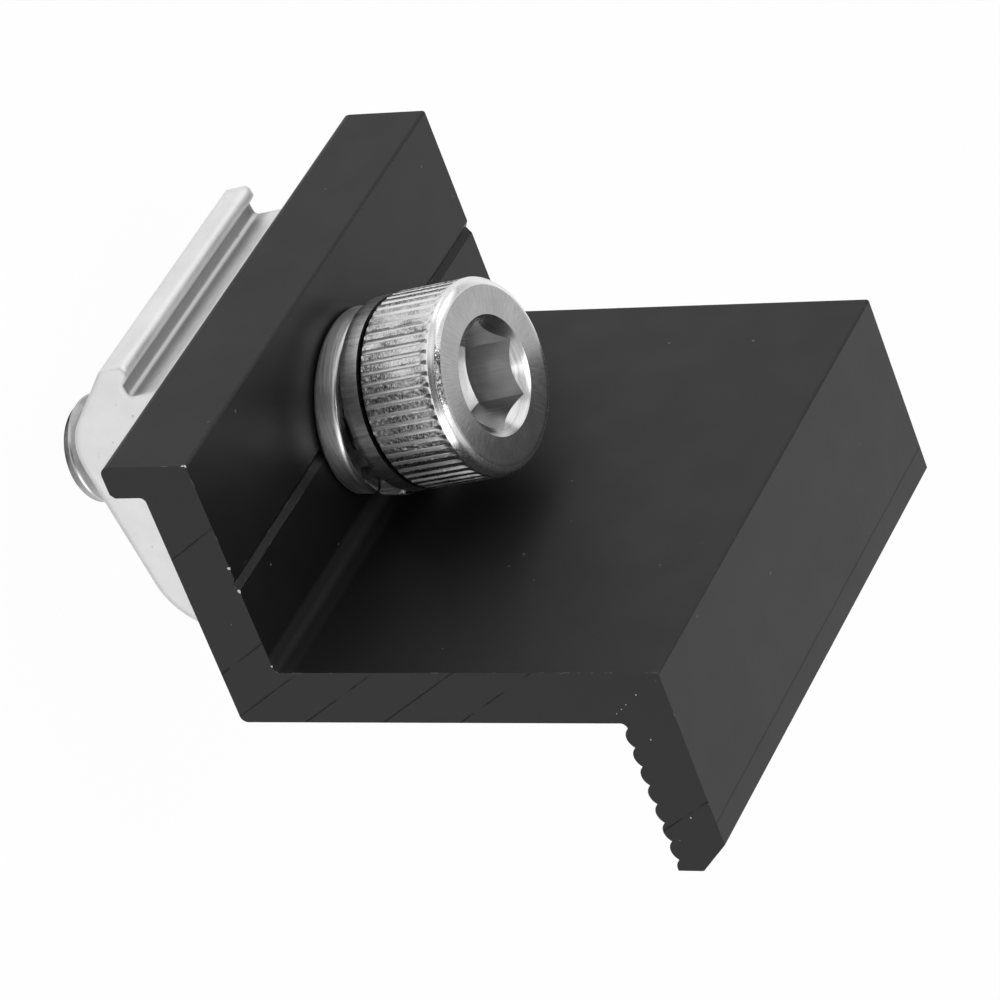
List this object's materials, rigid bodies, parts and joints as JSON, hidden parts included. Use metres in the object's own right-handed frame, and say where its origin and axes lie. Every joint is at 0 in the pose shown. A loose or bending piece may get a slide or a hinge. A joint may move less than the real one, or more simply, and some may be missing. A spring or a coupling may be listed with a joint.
{
  "type": "solar end clamp",
  "caption": "Black Z-shaped end clamp with a heel foot and serrated lip, fixed by a socket head screw with a split washer and a slot-in rail nut.",
  "frame": {"origin": "On the rail's face, under the middle of the screw's hole: Z = 0 is the underside of the heel foot.", "axes": "+Z away from the rail, +X from the flange's free end towards the module, Y along the extrusion. The screw leans 9.2 degrees towards -X."},
  "size_m": [0.0349, 0.04, 0.0521],
  "materials": {
    "black_anodised": "black anodised, satin, drawn along the extrusion",
    "screw_steel": "bright stainless steel",
    "washer_steel": "bright stainless steel with turning marks",
    "nut_aluminium": "mill-finish extrusion"
  },
  "bodies": {
    "clamp": {"clamp_body": "black_anodised", "spring_washer": "washer_steel"},
    "screw": {"cap_screw": "screw_steel"},
    "nut": {"rail_nut": "nut_aluminium"}
  },
  "joints": [
    {"name": "screw_turn", "type": "hinge", "parent": "clamp", "child": "screw", "pos_m": [0, 0, 0.00465], "axis": [-0.1599, 0, 0.9871], "range_deg": [0, 3600]},
    {"name": "nut_travel", "type": "slide", "parent": "clamp", "child": "nut", "axis": [0.1599, 0, -0.9871], "range_m": [0, 0.01251]}
  ],
  "couplings": [
    {"joint": "nut_travel", "follows": "screw_turn", "m_per_rad": 0.00019894}
  ]
}
